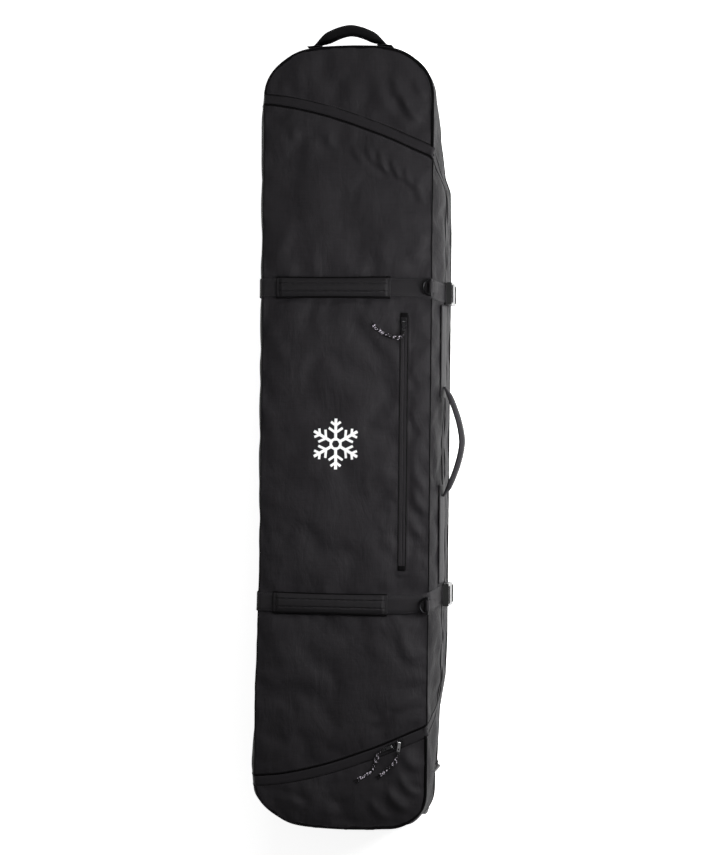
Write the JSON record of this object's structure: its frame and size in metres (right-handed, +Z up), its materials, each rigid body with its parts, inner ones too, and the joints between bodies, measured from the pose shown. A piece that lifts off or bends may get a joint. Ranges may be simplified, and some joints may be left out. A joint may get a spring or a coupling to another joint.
{
  "type": "wheeled snowboard bag",
  "caption": "Long padded board bag with an opening lid, compression straps, carry handles, zip pocket and wheels at one end.",
  "frame": {"origin": "on the floor under the middle of the bag, on the underside of the centre skid rail", "axes": "+X across the bag towards the buckles, +Y along it towards the grab handle (wheels at -Y), +Z up through the lid"},
  "size_m": [0.434, 1.651, 0.2062],
  "materials": {
    "shell_fabric": "satin",
    "webbing": "matte",
    "haul_fabric": "matte",
    "handle_fabric": "matte",
    "foam": "matte",
    "lining": "satin",
    "zip_tape": "matte",
    "zip_coil": "satin",
    "buckle_plastic": "gloss",
    "housing_plastic": "matte",
    "stiffener_plastic": "satin",
    "slider_metal": "gloss",
    "tab_metal": "satin",
    "ring_metal": "satin",
    "steel": "satin",
    "rivet_metal": "satin",
    "tyre_rubber": "matte",
    "hub_plastic": "satin",
    "pull_cord": "matte"
  },
  "bodies": {
    "shell": {"back_foam": "foam", "back_panel": "shell_fabric", "back_stiffener": "stiffener_plastic", "skid_rails": "housing_plastic", "rail_rivets": "rivet_metal", "top_end_wall": "shell_fabric", "wheel_end_wall": "shell_fabric", "right_wall": "shell_fabric", "left_wall": "shell_fabric", "top_end_panel": "shell_fabric", "wheel_end_panel": "shell_fabric", "fixed_zip_tape": "zip_tape", "fixed_coil": "zip_coil", "top_buckle_socket": "buckle_plastic", "top_anchor_webbing": "webbing", "low_buckle_socket": "buckle_plastic", "low_anchor_webbing": "webbing", "grab_handle_tabs": "webbing", "wheel_housing": "housing_plastic", "axle_bolt_left": "steel", "axle_bolt_right": "steel", "board_straps": "webbing", "cam_buckles": "buckle_plastic"},
    "lid": {"lid_panel": "shell_fabric", "lid_right_wall": "shell_fabric", "lid_left_wall": "shell_fabric", "lid_foam": "foam", "pocket_liner": "lining", "lid_zip_tape": "zip_tape", "lid_coil": "zip_coil", "pocket_zip_tape": "zip_tape", "pocket_zip_stops": "zip_tape", "top_strap": "webbing", "top_haul_handle": "haul_fabric", "top_ring_loop": "webbing", "low_strap": "webbing", "low_haul_handle": "haul_fabric", "low_ring_loop": "webbing", "side_webbing": "webbing"},
    "top_ring": {"top_d_ring": "ring_metal"},
    "low_ring": {"low_d_ring": "ring_metal"},
    "top_plug": {"top_buckle_plug": "buckle_plastic"},
    "low_plug": {"low_buckle_plug": "buckle_plastic"},
    "side_grip": {"side_handle": "handle_fabric"},
    "grab_grip": {"grab_handle": "handle_fabric"},
    "wheel_left": {"tyre_left": "tyre_rubber", "hub_left": "hub_plastic", "bearings_left": "steel"},
    "wheel_right": {"tyre_right": "tyre_rubber", "hub_right": "hub_plastic", "bearings_right": "steel"},
    "pocket_runner": {"pocket_slider": "slider_metal"},
    "pocket_pull": {"pocket_pull_tab": "tab_metal", "pocket_pull_cord": "pull_cord"},
    "left_runner": {"left_slider": "slider_metal"},
    "left_pull": {"left_pull_tab": "tab_metal", "left_pull_cord": "pull_cord"},
    "right_runner": {"right_slider": "slider_metal"},
    "right_pull": {"right_pull_tab": "tab_metal", "right_pull_cord": "pull_cord"}
  },
  "joints": [
    {"name": "lid_open", "type": "hinge", "parent": "shell", "child": "lid", "pos_m": [-0.194, 0, 0.1], "axis": [0, -1, 0], "range_deg": [0, 165]},
    {"name": "top_ring_flip", "type": "hinge", "parent": "lid", "child": "top_ring", "pos_m": [0.176, 0.303, 0.2016], "axis": [0, 1, 0], "range_deg": [0, 120]},
    {"name": "low_ring_flip", "type": "hinge", "parent": "lid", "child": "low_ring", "pos_m": [0.176, -0.345, 0.2016], "axis": [0, 1, 0], "range_deg": [0, 120]},
    {"name": "top_plug_release", "type": "slide", "parent": "lid", "child": "top_plug", "axis": [0, 0, 1], "range_m": [0, 0.03]},
    {"name": "low_plug_release", "type": "slide", "parent": "lid", "child": "low_plug", "axis": [0, 0, 1], "range_m": [0, 0.03]},
    {"name": "side_handle_swing", "type": "hinge", "parent": "lid", "child": "side_grip", "pos_m": [0.196, -0.011, 0.132], "axis": [0, 1, 0], "range_deg": [-40, 40], "stiffness_Nm_per_rad": 2},
    {"name": "grab_handle_swing", "type": "hinge", "parent": "shell", "child": "grab_grip", "pos_m": [0, 0.802, 0.15], "axis": [1, 0, 0], "range_deg": [-40, 40], "stiffness_Nm_per_rad": 2},
    {"name": "wheel_left_spin", "type": "hinge", "parent": "shell", "child": "wheel_left", "pos_m": [-0.148, -0.75, 0.046], "axis": [1, 0, 0], "continuous": true},
    {"name": "wheel_right_spin", "type": "hinge", "parent": "shell", "child": "wheel_right", "pos_m": [0.148, -0.75, 0.046], "axis": [1, 0, 0], "continuous": true},
    {"name": "pocket_slider_run", "type": "slide", "parent": "lid", "child": "pocket_runner", "axis": [0, -1, 0], "range_m": [0, 0.484]},
    {"name": "pocket_pull_flip", "type": "hinge", "parent": "pocket_runner", "child": "pocket_pull", "pos_m": [0.121, 0.232, 0.1998], "axis": [-1, 0, 0], "range_deg": [0, 150]},
    {"name": "left_slider_run", "type": "hinge", "parent": "lid", "child": "left_runner", "pos_m": [-0.217, 0.077, 0.1933], "axis": [0, 0, 1], "range_deg": [-17, 0]},
    {"name": "left_pull_flip", "type": "hinge", "parent": "left_runner", "child": "left_pull", "pos_m": [0.104, -0.63389, 0.1983], "axis": [-0.4115, 0.9114, 0], "range_deg": [0, 150]},
    {"name": "right_slider_run", "type": "hinge", "parent": "lid", "child": "right_runner", "pos_m": [-0.217, 0.077, 0.1933], "axis": [0, 0, 1], "range_deg": [0, 3.5]},
    {"name": "right_pull_flip", "type": "hinge", "parent": "right_runner", "child": "right_pull", "pos_m": [0.121, -0.62596, 0.1983], "axis": [-0.9903, 0.1392, 0], "range_deg": [0, 150]}
  ]
}
